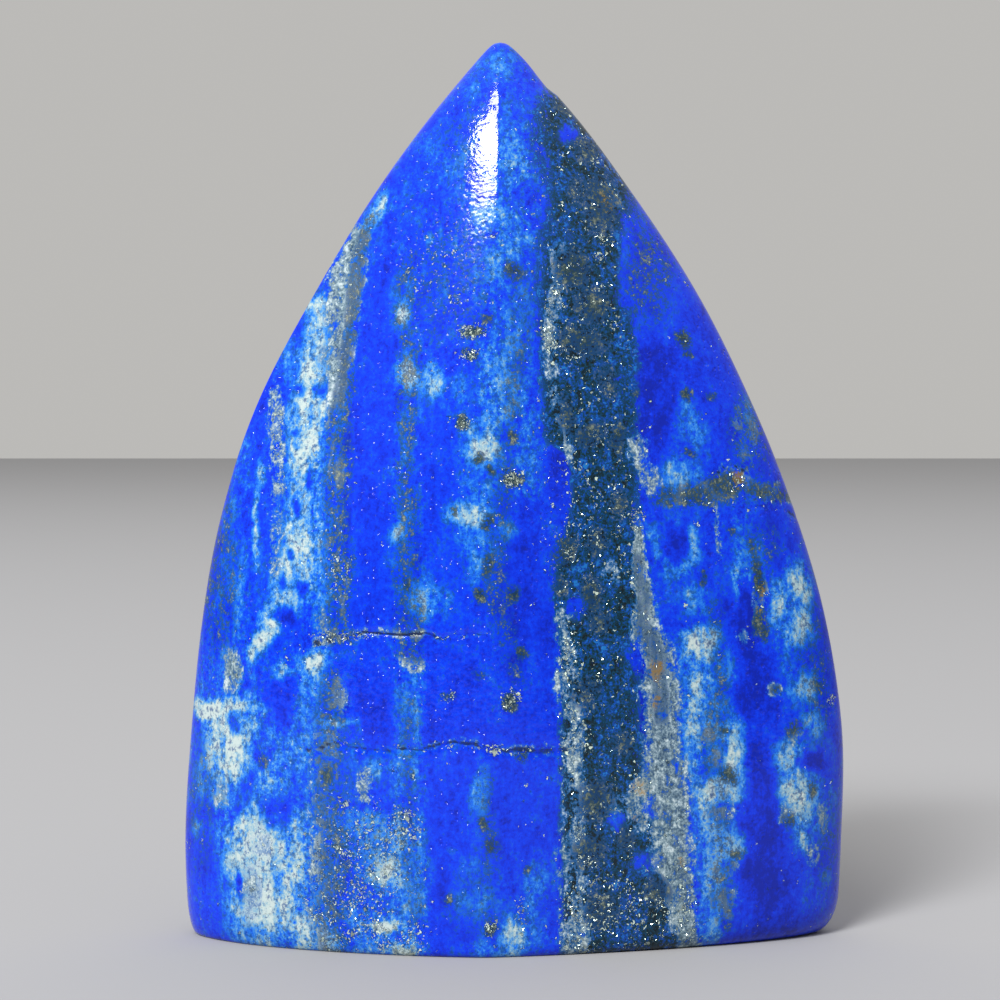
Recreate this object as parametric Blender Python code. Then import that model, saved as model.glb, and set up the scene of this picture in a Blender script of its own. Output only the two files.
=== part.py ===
"""A polished lapis lazuli freeform: one solid stone, ground to a pointed arch and sawn flat to stand.

X runs across the broad face, the front is towards -Y and +Z is up. The origin is the centre of the
bounding box's bottom, on the flat foot.
"""

import math

import bmesh
import bpy
import numpy as np

NAME = "lapis_lazuli_stone"
MILLIMETRE = 0.001

# Driving dimensions, in millimetres. The tip stands over the ridge, a little left of the middle.
HEIGHT = 80.0
TIP_ACROSS = -1.4
RIDGE_AT_FOOT = -2.6
TIP_ROUNDING = 0.55

# The stone's outline: height, left edge, right edge, depth in front and depth behind. The top row
# is where the sides would end if the tip weren't rounded off.
OUTLINE = (
    (0.0, -29.5, 29.0, 11.2, 11.3),
    (8.0, -29.8, 29.4, 11.25, 11.4),
    (18.0, -29.25, 29.5, 11.0, 11.2),
    (28.0, -28.25, 28.05, 10.45, 10.6),
    (38.0, -26.45, 25.15, 9.7, 9.8),
    (48.0, -23.3, 21.15, 8.6, 8.7),
    (58.0, -17.95, 16.1, 7.15, 7.2),
    (66.0, -13.0, 10.9, 5.65, 5.5),
    (73.0, -7.95, 5.75, 3.85, 3.7),
    (HEIGHT, -2.2, -0.5, 0.75, 0.75),
)

# A level cut is a superellipse in each quarter. The ridge power shapes the middle of a broad face,
# which is a crease at 1 and flat well above 2. The end power does the same for the narrow ends.
FRONT_LEFT_RIDGE_POWER = 1.55
FRONT_RIGHT_RIDGE_POWER = 1.22
BACK_RIDGE_POWER = 1.8
END_POWER = 1.87

# Flats left by the grinding wheel: the compass direction that each faces, in degrees to the right
# of the front, its upward tilt, and its distance from the outline's zero along that direction.
FLATS = (
    (16.0, 5.0, 12.7),
    (-39.0, 3.0, 20.5),
    (-24.0, 13.0, 20.9),
    (180.0, 4.0, 11.5),
    (146.0, 7.0, 19.1),
    (-152.0, 12.0, 19.9),
)
GRIND_SOFTNESS = 0.9

# The rounding between the foot and the wall, as how high it reaches and how far it draws in: along
# the broad faces, at the left end and at the right end.
FACE_ROUNDING = (0.7, 0.5)
LEFT_ROUNDING = (3.2, 0.8)
RIGHT_ROUNDING = (3.6, 2.2)
ROUNDING_TO_ENDS = 2

# A shallow chip on the right flank. It starts at a ledge and fades out upward.
CHIP_LEDGE = 75.2
CHIP_STEP = 0.7
CHIP_TOP = 78.6
CHIP_DEPTH = 0.3
CHIP_NARROWING = 3

# The mesh: points round a level cut, cuts up the wall, and steps in the foot's rounding. An edge
# that turns by more than the sharp angle, in degrees, is shaded as an edge.
RING_POINTS = 80
WALL_CUTS = 46
ROUNDING_STEPS = 4
CUTS_NEAR_TIP = 1.6
SHARP_ANGLE = 40

STONE_BLUE = (0.012, 0.045, 0.62, 1.0)
STONE_ROUGHNESS = 0.16


def smooth_column(height, column):
    """One column of OUTLINE at these heights, on a cubic curve through its rows."""
    rows = np.array(OUTLINE)
    levels, values = rows[:, 0], rows[:, column]
    slopes = np.gradient(values, levels)
    low = np.clip(np.searchsorted(levels, height, side="right") - 1, 0, len(levels) - 2)
    span = levels[low + 1] - levels[low]
    share = (height - levels[low]) / span
    rest = 1 - share
    start = rest**2 * (1 + 2 * share) * values[low] + rest**2 * share * span * slopes[low]
    end = share**2 * (1 + 2 * rest) * values[low + 1] - share**2 * rest * span * slopes[low + 1]
    return start + end


def tip_share(height):
    """How much of the outline is left at these heights: 1 low down, falling to 0 over a round tip."""
    below = HEIGHT - height
    return np.sqrt(below * (below + 2 * TIP_ROUNDING)) / (below + TIP_ROUNDING)


def smooth_step(value):
    share = np.clip(value, 0, 1)
    return share**2 * (3 - 2 * share)


def chip(angle, height):
    """How far the chip moves the right flank inward."""
    above_ledge = smooth_step((height - CHIP_LEDGE) / CHIP_STEP)
    below_top = smooth_step((CHIP_TOP - height) / (CHIP_TOP - CHIP_LEDGE - CHIP_STEP))
    on_right = np.clip(np.cos(angle), 0, 1) ** CHIP_NARROWING
    return CHIP_DEPTH * above_ledge * below_top * on_right


def grind(points):
    """Moves what stands proud of a flat back onto it, with a soft edge round each flat."""
    for compass, tilt, distance in FLATS:
        turn, lift = math.radians(compass), math.radians(tilt)
        facing = np.array(
            (
                math.sin(turn) * math.cos(lift),
                -math.cos(turn) * math.cos(lift),
                math.sin(lift),
            )
        )
        proud = points @ facing - distance
        edge = np.clip(proud, -GRIND_SOFTNESS, GRIND_SOFTNESS) + GRIND_SOFTNESS
        cut = np.maximum(edge**2 / (4 * GRIND_SOFTNESS), proud)
        level = np.array((facing[0], facing[1], 0.0)) / math.cos(lift)
        points = points - cut[..., None] * level
    return points


def wall(angle, height):
    """Points of the stone's side. Angle 0 is the right end, and 90 degrees is the front ridge."""
    share = tip_share(height)
    ridge = RIDGE_AT_FOOT + (TIP_ACROSS - RIDGE_AT_FOOT) * height / HEIGHT
    to_right = (smooth_column(height, 2) - ridge) * share
    to_left = (ridge - smooth_column(height, 1)) * share
    in_front = smooth_column(height, 3) * share
    behind = smooth_column(height, 4) * share
    across, along = np.cos(angle), np.sin(angle)
    front_power = np.where(across > 0, FRONT_RIGHT_RIDGE_POWER, FRONT_LEFT_RIDGE_POWER)
    ridge_power = np.where(along > 0, front_power, BACK_RIDGE_POWER)
    reach = np.where(across > 0, to_right, to_left) * np.sign(across)
    depth = np.where(along > 0, in_front, behind) * np.sign(along)
    x = ridge + reach * np.abs(across) ** (2 / ridge_power) - chip(angle, height)
    y = -depth * np.abs(along) ** (2 / END_POWER)
    return grind(np.stack((x, y, height), axis=-1))


def level_normal(angle, height):
    """The wall's outward direction, level, from two points close beside each one."""
    aside = math.radians(0.5)
    run = wall(angle - aside, height) - wall(angle + aside, height)
    normal = np.stack((run[..., 1], -run[..., 0], np.zeros_like(height)), axis=-1)
    return normal / np.linalg.norm(normal, axis=-1, keepdims=True)


def foot_rounding(angle):
    """How high the foot's rounding reaches at each angle, and how far it draws in."""
    at_end = np.abs(np.cos(angle)) ** ROUNDING_TO_ENDS
    right = np.cos(angle) > 0
    return [
        face + (np.where(right, right_end, left_end) - face) * at_end
        for face, left_end, right_end in zip(FACE_ROUNDING, LEFT_ROUNDING, RIGHT_ROUNDING)
    ]


def rings():
    """The cuts through the stone as rings of points, from the foot up to just under the tip."""
    angle = np.arange(RING_POINTS) * 2 * math.pi / RING_POINTS
    rise, inset = foot_rounding(angle)
    found = []
    for step in range(ROUNDING_STEPS):
        turn = math.radians(90) * step / ROUNDING_STEPS
        height = rise * (1 - math.cos(turn))
        drawn_in = inset * (1 - math.sin(turn))
        found.append(wall(angle, height) - drawn_in[:, None] * level_normal(angle, height))
    for cut in range(WALL_CUTS):
        below = (1 - cut / WALL_CUTS) ** CUTS_NEAR_TIP
        found.append(wall(angle, HEIGHT - (HEIGHT - rise) * below))
    return found


def stone_mesh():
    """The stone as one closed skin: a flat foot, a band between each pair of rings, and the tip."""
    cuts = rings()
    tip = np.array((TIP_ACROSS, 0.0, HEIGHT))
    every_point = np.concatenate((*cuts, tip[None]))
    middle = (every_point.min(0) + every_point.max(0)) / 2
    origin = np.array((middle[0], middle[1], 0.0))
    builder = bmesh.new()
    loops = [
        [builder.verts.new((point - origin) * MILLIMETRE) for point in cut]
        for cut in cuts
    ]
    top = builder.verts.new((tip - origin) * MILLIMETRE)
    builder.faces.new(reversed(loops[0]))
    for lower, upper in zip(loops, loops[1:]):
        for here in range(RING_POINTS):
            there = (here + 1) % RING_POINTS
            builder.faces.new((lower[here], lower[there], upper[there], upper[here]))
    for here in range(RING_POINTS):
        builder.faces.new((loops[-1][here], loops[-1][(here + 1) % RING_POINTS], top))
    bmesh.ops.recalc_face_normals(builder, faces=builder.faces)
    mesh = bpy.data.meshes.new(NAME)
    builder.to_mesh(mesh)
    builder.free()
    mesh.shade_smooth()
    mesh.set_sharp_from_angle(angle=math.radians(SHARP_ANGLE))
    return mesh


def polished_lapis():
    material = bpy.data.materials.new("polished_lapis")
    material.use_nodes = True
    shader = material.node_tree.nodes["Principled BSDF"]
    shader.inputs["Base Color"].default_value = STONE_BLUE
    shader.inputs["Roughness"].default_value = STONE_ROUGHNESS
    shader.inputs["Metallic"].default_value = 0.0
    return material


def main():
    for old in list(bpy.data.objects):
        bpy.data.objects.remove(old)
    stone = bpy.data.objects.new(NAME, stone_mesh())
    stone.data.materials.append(polished_lapis())
    bpy.context.scene.collection.objects.link(stone)


main()
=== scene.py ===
"""A polished lapis lazuli freeform on a pale floor: one stone with calcite, pyrite and a dark band.

Lengths are in millimetres in the stone's own frame, as in the model: X across the broad face, the
front towards -Y, +Z up, with the origin under the middle of the flat foot.
"""

import math

import bmesh
import bpy
import numpy as np
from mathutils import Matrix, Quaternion, Vector, noise


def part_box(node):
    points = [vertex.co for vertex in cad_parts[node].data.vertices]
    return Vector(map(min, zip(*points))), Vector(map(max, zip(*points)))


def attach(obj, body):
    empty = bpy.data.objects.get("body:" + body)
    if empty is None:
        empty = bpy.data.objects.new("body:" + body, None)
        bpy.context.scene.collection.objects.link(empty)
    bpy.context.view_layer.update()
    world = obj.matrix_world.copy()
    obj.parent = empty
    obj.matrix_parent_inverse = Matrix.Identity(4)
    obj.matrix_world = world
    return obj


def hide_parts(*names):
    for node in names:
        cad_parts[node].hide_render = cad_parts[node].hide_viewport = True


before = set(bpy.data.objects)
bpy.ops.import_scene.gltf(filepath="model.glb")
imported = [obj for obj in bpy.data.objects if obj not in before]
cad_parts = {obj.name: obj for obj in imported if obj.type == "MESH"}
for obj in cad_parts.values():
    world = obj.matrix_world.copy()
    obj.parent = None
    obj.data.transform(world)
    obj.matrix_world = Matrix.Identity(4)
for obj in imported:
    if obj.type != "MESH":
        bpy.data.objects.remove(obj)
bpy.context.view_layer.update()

MILLIMETRE = 0.001
STONE = "lapis_lazuli_stone"
SLOT = "polished_lapis"

# The solid's driving dimensions, the same as the model's.
HEIGHT = 80.0
TIP_ACROSS = -1.4
RIDGE_AT_FOOT = -2.6
TIP_ROUNDING = 0.55
OUTLINE = (
    (0.0, -29.5, 29.0, 11.2, 11.3),
    (8.0, -29.8, 29.4, 11.25, 11.4),
    (18.0, -29.25, 29.5, 11.0, 11.2),
    (28.0, -28.25, 28.05, 10.45, 10.6),
    (38.0, -26.45, 25.15, 9.7, 9.8),
    (48.0, -23.3, 21.15, 8.6, 8.7),
    (58.0, -17.95, 16.1, 7.15, 7.2),
    (66.0, -13.0, 10.9, 5.65, 5.5),
    (73.0, -7.95, 5.75, 3.85, 3.7),
    (HEIGHT, -2.2, -0.5, 0.75, 0.75),
)
FRONT_LEFT_RIDGE_POWER = 1.55
FRONT_RIGHT_RIDGE_POWER = 1.22
BACK_RIDGE_POWER = 1.8
END_POWER = 1.87
FLATS = (
    (16.0, 5.0, 12.7),
    (-39.0, 3.0, 20.5),
    (-24.0, 13.0, 20.9),
    (180.0, 4.0, 11.5),
    (146.0, 7.0, 19.1),
    (-152.0, 12.0, 19.9),
)
GRIND_SOFTNESS = 0.9
FACE_ROUNDING = (0.7, 0.5)
LEFT_ROUNDING = (3.2, 0.8)
RIGHT_ROUNDING = (3.6, 2.2)
ROUNDING_TO_ENDS = 2
CHIP_LEDGE = 75.2
CHIP_STEP = 0.7
CHIP_TOP = 78.6
CHIP_DEPTH = 0.3
CHIP_NARROWING = 3

# The fine mesh. The front gets more points than the back, and rows crowd where the cracks run and at
# the tip. The rings in the foot close on a line, FOOT_LINE of the foot's length.
RING_POINTS = 360
BACK_SHARE = 0.4
WALL_ROWS = 236
ROUNDING_ROWS = 7
FOOT_ROWS = 10
FOOT_LINE = 0.25
CRACK_ROWS_AT = (17.9, 27.4)
CRACK_ROWS_REACH = 0.8
CRACK_ROWS_GAIN = 1.6
TIP_ROWS_GAIN = 2

# How finely the wall is tried out, to place its points, and the step that gives its direction.
ANGLE_TRIES = 7201
ROW_TRIES = 4001
NORMAL_STEP = math.radians(0.5)

# The surface's own relief, all of it inward.
WAVE_DEPTH = 0.05
WAVE_SCALE = 0.11
CRACK_DEPTH = 0.1
GREY_DEPTH = 0.05
DARK_DEPTH = 0.03
SMOOTH_FOOT = 2.0

# The layers lean, so on the back they stand this much further over for each millimetre of depth.
LAYER_LEAN = 0.28

# How far the markings wander from the plain shapes below, coarse and fine. The seed keeps the drift
# the same in every run.
WANDER = ((0.3, 0.55), (0.95, 0.28))
WANDER_SEED = 4

# A marking is full within the first of these shares of its half width, and gone beyond the second.
# Past its ends a stripe fades by the millimetre in the same way, counted from the third.
FULL_WITHIN = 1 / 3
GONE_BEYOND = 2.0
STRIPE_END = 0.5

# Round patches are on one side of the stone: the depth where they start to fade, and over how much.
FRONT_FADE = (-1.5, 4.0)
BACK_FADE = (3.0, 2.0)
CRACKS_UP_TO = 0.5

BASE_TONE = 0.27

# Upright stripes of tone: strength, then height, middle and half width along each.
TONE_STRIPES = (
    (-0.08, ((57, -12.2, 1.3), (50, -12.2, 1.6), (38, -12, 1.8), (28, -11.8, 1.6), (18, -11.6, 1.4))),
    (-0.06, ((47, -7.2, 1), (41, -7, 1.9), (34, -6.4, 1.9), (22, -5.6, 2.4), (2, -5.9, 2.1))),
    (-0.08, ((36, 0.8, 1.6), (25, 1.6, 2.2), (14, 1.4, 2.4), (8, 1.8, 1.6))),
    (0.04, ((76, -2, 1.6), (68, -4.6, 4.2), (58, -5, 4.4), (50, -5.4, 1.8))),
    (-0.22, ((52, 12.3, 1.4), (46, 11.8, 1.5), (43, 12, 0.8))),
    (-0.22, ((28, 11.4, 0.8), (22, 11.3, 0.9), (17, 11.3, 0.7))),
    (-0.2, ((30, 20.2, 1.3), (22, 21.4, 1.4), (12, 21.6, 1.6), (1, 22.3, 2.4))),
    (-0.08, ((58, 14.6, 1.6), (52, 16.5, 2.4), (44, 20.5, 2), (36, 23.8, 1.8))),
    (0.15, ((71, 0.6, 1.3), (62, -0.4, 1.8), (50, -0.6, 1.9), (40, 0.2, 1.4))),
    (0.18, ((58, -9.5, 0.9), (46, -9.4, 0.8), (38, -9.4, 1.2), (30, -9, 1.3), (22, -9.2, 0.9),
            (4, -8.8, 1.2))),
    (0.1, ((44, -26, 2), (30, -26.4, 3.2), (10, -27.4, 2.2))),
    (0.22, ((48, -16, 1.2), (38, -16.8, 1), (28, -17.4, 1), (14, -17, 1.6), (1, -18.6, 1.4))),
    (0.26, ((27, 15.4, 1), (17, 15.6, 0.8), (9, 16.7, 0.9), (1, 17.4, 1))),
    (0.24, ((12, -12.6, 2), (6, -12.2, 2.8), (0, -12.4, 3.4))),
    (0.16, ((25, -19.8, 1.6), (18, -20.4, 1.9), (12, -20.6, 1.5))),
    (0.18, ((40, 20.6, 0.9), (33, 20.6, 1.1))),
)

# Stripes that turn pale where calcite runs through.
PALE_STRIPES = (
    (0.58, ((56.5, -17.3, 0.8), (52, -17.6, 1.2), (46, -18.4, 1.4), (40, -18.9, 1.1), (36, -19.2, 1.2),
            (32, -19.8, 1.3), (29, -20.6, 1.2), (27, -21.8, 0.7), (25.6, -22.9, 0.6))),
    (0.46, ((66, -11.6, 0.5), (64, -12.6, 0.6), (61, -14.2, 0.7), (58, -14.9, 0.9), (54, -15, 0.5))),
    (0.4, ((41.5, -22.6, 0.3), (38, -22.7, 0.25), (34, -22.9, 0.2))),
    (0.42, ((21.5, -23.5, 0.7), (19, -23.3, 0.5), (16, -23.2, 0.4))),
    (0.34, ((36.5, 12.2, 0.4), (34.5, 12.5, 0.45), (33.2, 13.6, 0.5))),
    (0.34, ((36, 15.6, 0.4), (34, 15.7, 0.45), (33, 14.7, 0.5))),
    (0.36, ((32.6, 19.2, 0.14), (30.4, 19.4, 0.16))),
)

# Round pale patches: across, up, half width, half height and strength. The one at the very tip is a painted
# reflection of light on the polish.
PALE_PATCHES_AND_TIP_REFLECTION = (
    (-2.6, 43.2, 1.5, 1.5, 0.58), (-4, 38, 1.5, 0.9, 0.62), (-3.6, 45.2, 0.7, 1.2, 0.3),
    (-2, 46.6, 1, 1.6, 0.26), (-1.6, 50.2, 1, 2.2, 0.18), (-0.9, 36.8, 1, 0.8, 0.34),
    (-3.8, 34.2, 0.9, 1.8, 0.34), (-7, 30.6, 1.4, 1.6, 0.28), (-9.6, 50, 0.7, 1, 0.46),
    (-7.4, 49.6, 0.7, 1.4, 0.42), (-9.4, 55, 0.5, 1, 0.44), (-8, 61.8, 0.4, 0.5, 0.34),
    (0.4, 69, 1, 1.3, 0.14), (1.2, 72.4, 0.9, 0.7, 0.14), (-2.6, 64.2, 1.6, 0.9, 0.14),
    (-10.4, 36.2, 0.5, 0.7, 0.32), (-19.9, 51.6, 0.8, 2, 0.3), (-19.6, 46.4, 0.6, 1.6, 0.42),
    # The first patch on the next line, pale at the tip, is painted reflection: a glow of light on the
    # polish there, not a marking in the stone.
    (-1.4, 77.8, 1.4, 1.4, 0.22), (-3.6, 74.6, 1, 1.4, 0.16), (-5.6, 69.4, 1.6, 2, 0.1),
    (-2.6, 61, 1.2, 2.4, 0.12), (-27.2, 20.5, 2.2, 0.75, 0.72), (-25.4, 17.6, 1.7, 2.6, 0.66),
    (-24.4, 20.8, 1.8, 0.7, 0.54), (-26, 13.1, 0.9, 1, 0.44), (-22.8, 12.3, 0.4, 1, 0.4),
    (-21.6, 15, 0.9, 1.4, 0.26), (-17.8, 25, 0.6, 1.2, 0.46), (-25, 24.2, 0.7, 1.6, 0.3),
    (-20.2, 23.8, 0.7, 0.7, 0.34), (-22.5, 8.2, 2.5, 3, 0.74), (-22.4, 3.6, 2.2, 3.2, 0.72),
    (-24.6, 9, 1.1, 1.8, 0.58), (-19.2, 8, 0.9, 3, 0.34), (-18.8, 1.6, 1.3, 1.6, 0.38),
    (-28.2, 9.9, 0.5, 0.6, 0.36), (-12.3, 16, 0.7, 0.8, 0.34), (-11.2, 7.2, 0.9, 0.9, 0.4),
    (-11.5, 2.7, 1.1, 0.3, 0.62), (-9.7, 0.5, 1.1, 0.5, 0.6), (-16.3, 1.2, 1, 1.1, 0.48),
    (-15, 20, 1.1, 0.3, 0.4), (-2.9, 14.6, 0.7, 2, 0.3), (-3, 5, 1.8, 1.6, 0.26), (-2, 0.8, 1.6, 0.9, 0.26),
    (0.1, 1.6, 0.9, 1.6, 0.52), (1.9, 6, 0.8, 2.4, 0.26), (2.2, 2.4, 0.8, 1.2, 0.18),
    (14.6, 40.9, 1.4, 1.3, 0.46), (15.2, 45.6, 1.1, 1.7, 0.28), (21, 46.8, 0.5, 1.6, 0.34),
    (15.8, 30.8, 0.9, 1.4, 0.24), (16.6, 26.6, 1.3, 1.2, 0.54), (16.4, 22.4, 1, 1.6, 0.36),
    (18.4, 24.4, 1.2, 1.2, 0.32), (18.2, 19.4, 1.8, 1, 0.44), (19.4, 16.2, 0.9, 2.2, 0.54),
    (18.2, 14, 1.5, 1.2, 0.6), (18.8, 9.2, 1.2, 1.8, 0.6), (17.2, 17, 0.7, 1.4, 0.3),
    (18.2, 6, 1.3, 2, 0.22), (23.4, 30.2, 0.8, 1.7, 0.42), (25.4, 31.4, 1, 2, 0.52),
    (25.3, 28, 1.1, 1.7, 0.54), (25.9, 22.4, 0.8, 1.2, 0.54), (26.6, 19.4, 0.8, 1.2, 0.42),
    (24.3, 16.3, 1.1, 1.5, 0.52), (25.2, 12.6, 1.6, 1.9, 0.62), (27, 11.4, 1.2, 1.9, 0.32),
    (25.4, 8.6, 0.7, 0.9, 0.44), (24.2, 24, 0.9, 2.6, 0.16), (28, 5.4, 0.7, 0.6, 0.3),
    (-24.2, 29.6, 0.8, 2.4, 0.16), (-27.6, 15, 0.7, 2.4, 0.14), (-3.4, 7.6, 1.2, 1.2, 0.2),
    (-3.4, 44.6, 1.4, 2.2, 0.24), (-2.2, 47.8, 1.8, 2.4, 0.18), (-3.2, 40.8, 1.6, 2, 0.2),
    (-3.4, 35.6, 1.6, 2.2, 0.25), (-5.2, 48.6, 0.9, 1.4, 0.22), (17.6, 20.6, 1.2, 1.6, 0.26),
)

# Deep blue spots in the pale parts, as patches.
DEEP_SPOTS = (
    (-24.9, 19, 0.45, 0.8, 0.6), (-24.2, 5.4, 0.3, 1.2, 0.62), (-22.6, 1.4, 1, 0.5, 0.34),
    (-20.2, 29, 0.9, 0.7, 0.62), (-19.3, 38.3, 0.28, 0.8, 0.62), (-20.3, 32, 0.3, 0.7, 0.55),
    (-19.5, 34.5, 0.3, 0.4, 0.55), (-18.5, 31.6, 0.3, 0.5, 0.5), (-17.9, 41, 0.25, 0.8, 0.5),
    (-18.9, 48.9, 0.3, 0.4, 0.5), (-17.5, 49, 0.4, 0.3, 0.5), (-19.2, 45, 0.3, 0.3, 0.45),
    (-20.6, 21.6, 1, 1.6, 0.3), (-19.6, 23, 0.5, 0.8, 0.34), (-20.8, 12, 1.2, 0.8, 0.42),
    (4, 41.4, 1, 2.6, 0.2), (26.4, 15.8, 1, 0.6, 0.3), (14.2, 35.6, 0.8, 1.2, 0.24),
)

# The back's scattered patches: seed, number, strength and size, then the ranges that they vary in.
BACK_PALE = (11, 46, 0.6, 1.3)
BACK_OLIVE = (23, 70, 0.75, 0.5)
BACK_FLECKS = (37, 26, 0.6, 1.0)
BACK_ACROSS = (-28, 28)
BACK_UP = (0, 70)
BACK_WIDTHS = (0.5, 1.3)
BACK_STRETCH = (1.1, 2.4)
BACK_STRENGTHS = (0.5, 1.1)

# The dark band: height, left edge and right edge. The left one is crisp below and soft near the tip.
DARK_BAND = (
    (81, 4, 4.2), (75, 3, 5.5), (73.5, 2, 7), (68, 2.3, 10.5), (64, 2.4, 10.6), (60, 2.2, 9.8),
    (54, 2.3, 10.6), (48, 2.5, 10.7), (44.5, 2.7, 10.4), (42.5, 4.7, 10.6), (38, 4.9, 10.4), (36, 4, 10.8),
    (32, 3.3, 11.2), (28, 3.7, 11), (24, 3.9, 10.6), (17, 4, 11.2), (12, 4, 13.4), (0, 4.1, 14.8),
)
DARK_LEFT_SOFTNESS = ((0, 0.8), (30, 1.0), (36, 1.5), (50, 1.2), (60, 2.1), (80, 2.6))
DARK_RIGHT_SOFTNESS = 1.9

# Blue islands in the dark band. Then the olive clumps in it and in the seams on its right, as patches.
DARK_ISLANDS = (
    (4.9, 71.4, 0.9, 0.8, 0.9), (5.2, 30, 0.9, 1, 0.8), (8.7, 11.5, 0.8, 0.7, 0.9),
    (12, 12.6, 0.7, 0.7, 0.8), (11.6, 8, 1.3, 0.9, 0.8), (5.6, 2, 0.5, 0.5, 0.6), (9.8, 60, 0.8, 3.6, 0.5),
    (8, 21, 1.1, 2.6, 0.3), (10, 26, 0.8, 1.4, 0.5), (7.4, 47.8, 1.4, 1.2, 0.3), (9.6, 4.6, 0.9, 0.7, 0.5),
    (3, 66, 0.6, 3, 0.3), (6.9, 37.6, 0.8, 0.7, 0.3), (3.8, 41, 0.8, 2.4, 0.5), (4.6, 62.6, 0.7, 1.2, 0.4),
    (9, 50, 0.7, 2.4, 0.3),
)
OLIVE_IN_DARK = (
    (5, 59.4, 1.2, 1.6, 0.8), (7.6, 65.2, 1.4, 2.2, 0.7), (6.8, 56.4, 1.3, 1.4, 0.7),
    (5.8, 53, 1.6, 1.2, 0.7), (6.6, 44.9, 1.1, 1, 0.7), (9, 44.5, 0.6, 1.2, 0.8), (7, 35.6, 0.9, 0.9, 0.6),
    (4.4, 35, 0.9, 1.2, 0.7), (4, 31.8, 0.5, 0.9, 0.6), (6.6, 30.8, 0.7, 1.6, 0.7),
    (7.2, 28.6, 0.8, 0.9, 0.6), (8.9, 38.8, 0.8, 1.2, 0.6), (6.2, 22.6, 0.9, 1.4, 0.5),
    (9.2, 18.2, 1, 0.9, 0.5), (7, 13.4, 1.4, 1.4, 0.7), (6.4, 9.2, 1, 1.6, 0.6), (9.6, 9.8, 0.9, 0.9, 0.6),
    (7.2, 4, 1.2, 1.4, 0.6), (12.4, 5.4, 0.8, 1.2, 0.6), (4.6, 46.6, 0.6, 1.6, 0.6),
    (7.9, 49.6, 0.8, 1.3, 0.5), (6.4, 70, 1, 1, 0.6), (5.6, 66.4, 0.8, 1.2, 0.5), (4.4, 74, 1, 0.6, 0.6),
    (16.2, 39.4, 1.8, 0.8, 0.66), (18.6, 40.2, 1.6, 0.9, 0.72), (13.2, 39.6, 1.2, 0.7, 0.6),
    (21.6, 39.9, 1.6, 0.7, 0.62), (24, 39.3, 1.2, 0.5, 0.55), (21.3, 32.4, 0.5, 1.6, 0.85),
    (21.6, 28.6, 0.5, 1, 0.8), (20.9, 35, 0.4, 0.8, 0.6),
)

# Granular grey stripes and patches, fainter along the dark band's left edge.
GREY_STRIPES = (
    (0.85, ((63, -13.6, 0.8), (58.5, -14.9, 1.3), (55, -15.2, 1.3), (51, -15.6, 1.1), (47.6, -15.8, 0.7))),
    (0.44, ((46, -15.9, 0.6), (38, -15.6, 0.7), (33, -15.5, 0.8), (28, -15.3, 0.8))),
    (0.56, ((49, -21.4, 0.5), (46, -21.3, 0.8), (42, -21.1, 0.7), (39, -21, 0.4))),
    (0.4, ((39, -21, 0.5), (36, -21.1, 0.6), (33, -21.2, 0.5))),
    (0.5, ((61, 3.9, 0.6), (56, 3.6, 0.6), (52, 3.1, 0.5), (48, 3.7, 0.5), (43, 4.9, 0.3))),
    (0.5, ((29, 4.3, 0.7), (24, 4.7, 0.9), (18, 4.9, 0.9), (12, 5.1, 1), (6, 5.1, 1), (0, 5.3, 1.1))),
    (0.95, ((37, 10.8, 0.3), (33, 10.8, 0.6), (29, 11.3, 0.9), (26, 12.3, 1.2), (22, 12.8, 1.4),
            (18, 13, 1.4), (14, 13.3, 1.4), (9, 13.8, 1.3), (6, 14.3, 1.1), (3, 14.6, 0.9),
            (0, 15.3, 0.8))),
    (0.5, ((19, -16.4, 1.2), (14, -16.4, 1.3), (9, -16.6, 1.2), (4, -16.6, 1.3), (0, -16.2, 1))),
)
GREY_PATCHES = (
    (-15.1, 22, 0.7, 1.3, 0.7), (-16.8, 29, 0.6, 1, 0.7), (-25, 24.2, 0.7, 1.6, 0.75),
    (-26, 13, 0.7, 0.9, 0.5), (-8.8, 25.2, 0.9, 0.6, 0.6), (-13, 14.8, 0.6, 1, 0.6),
    (17, 39.8, 1.9, 0.8, 0.58), (19.4, 40.4, 1.5, 0.9, 0.6), (21.8, 39.9, 1.7, 0.7, 0.58),
    (24.4, 39.1, 1.2, 0.5, 0.5), (14, 39.6, 1.6, 0.7, 0.58), (11.6, 41.2, 0.7, 1.2, 0.62),
    (10.9, 43.4, 0.9, 1.1, 0.6), (21.4, 31.2, 0.6, 2.2, 0.5), (24.9, 18.2, 0.7, 0.7, 0.5),
    (22.8, 22.6, 0.6, 0.5, 0.7), (20.4, 27, 0.5, 0.6, 0.6), (17, 18.4, 0.6, 0.8, 0.7),
    (17.8, 16.2, 0.5, 0.9, 0.6), (18, 12, 1.1, 0.7, 0.7), (18.6, 6.8, 0.8, 0.7, 0.6),
    (18.4, 4.2, 1, 1.2, 0.6), (23.8, 11.2, 0.5, 0.8, 0.6), (27.6, 11, 0.5, 1.2, 0.5),
    (26.4, 7.6, 0.7, 1, 0.5), (10.9, 12.4, 1.3, 1.6, 0.6), (11.6, 14.6, 1.1, 1, 0.7),
    (8.4, 13, 1.2, 1, 0.4), (8.2, 65.4, 1.1, 1.4, 0.5), (9, 44.6, 0.5, 0.9, 0.5), (8.4, 33, 0.9, 0.9, 0.45),
    (20.6, 45, 1.2, 2.2, 0.42), (17.8, 36.6, 0.25, 2.6, 0.5), (-23.2, 4.8, 0.9, 3, 0.34),
    (-22.2, 9, 1.1, 1.8, 0.3),
)
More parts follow.
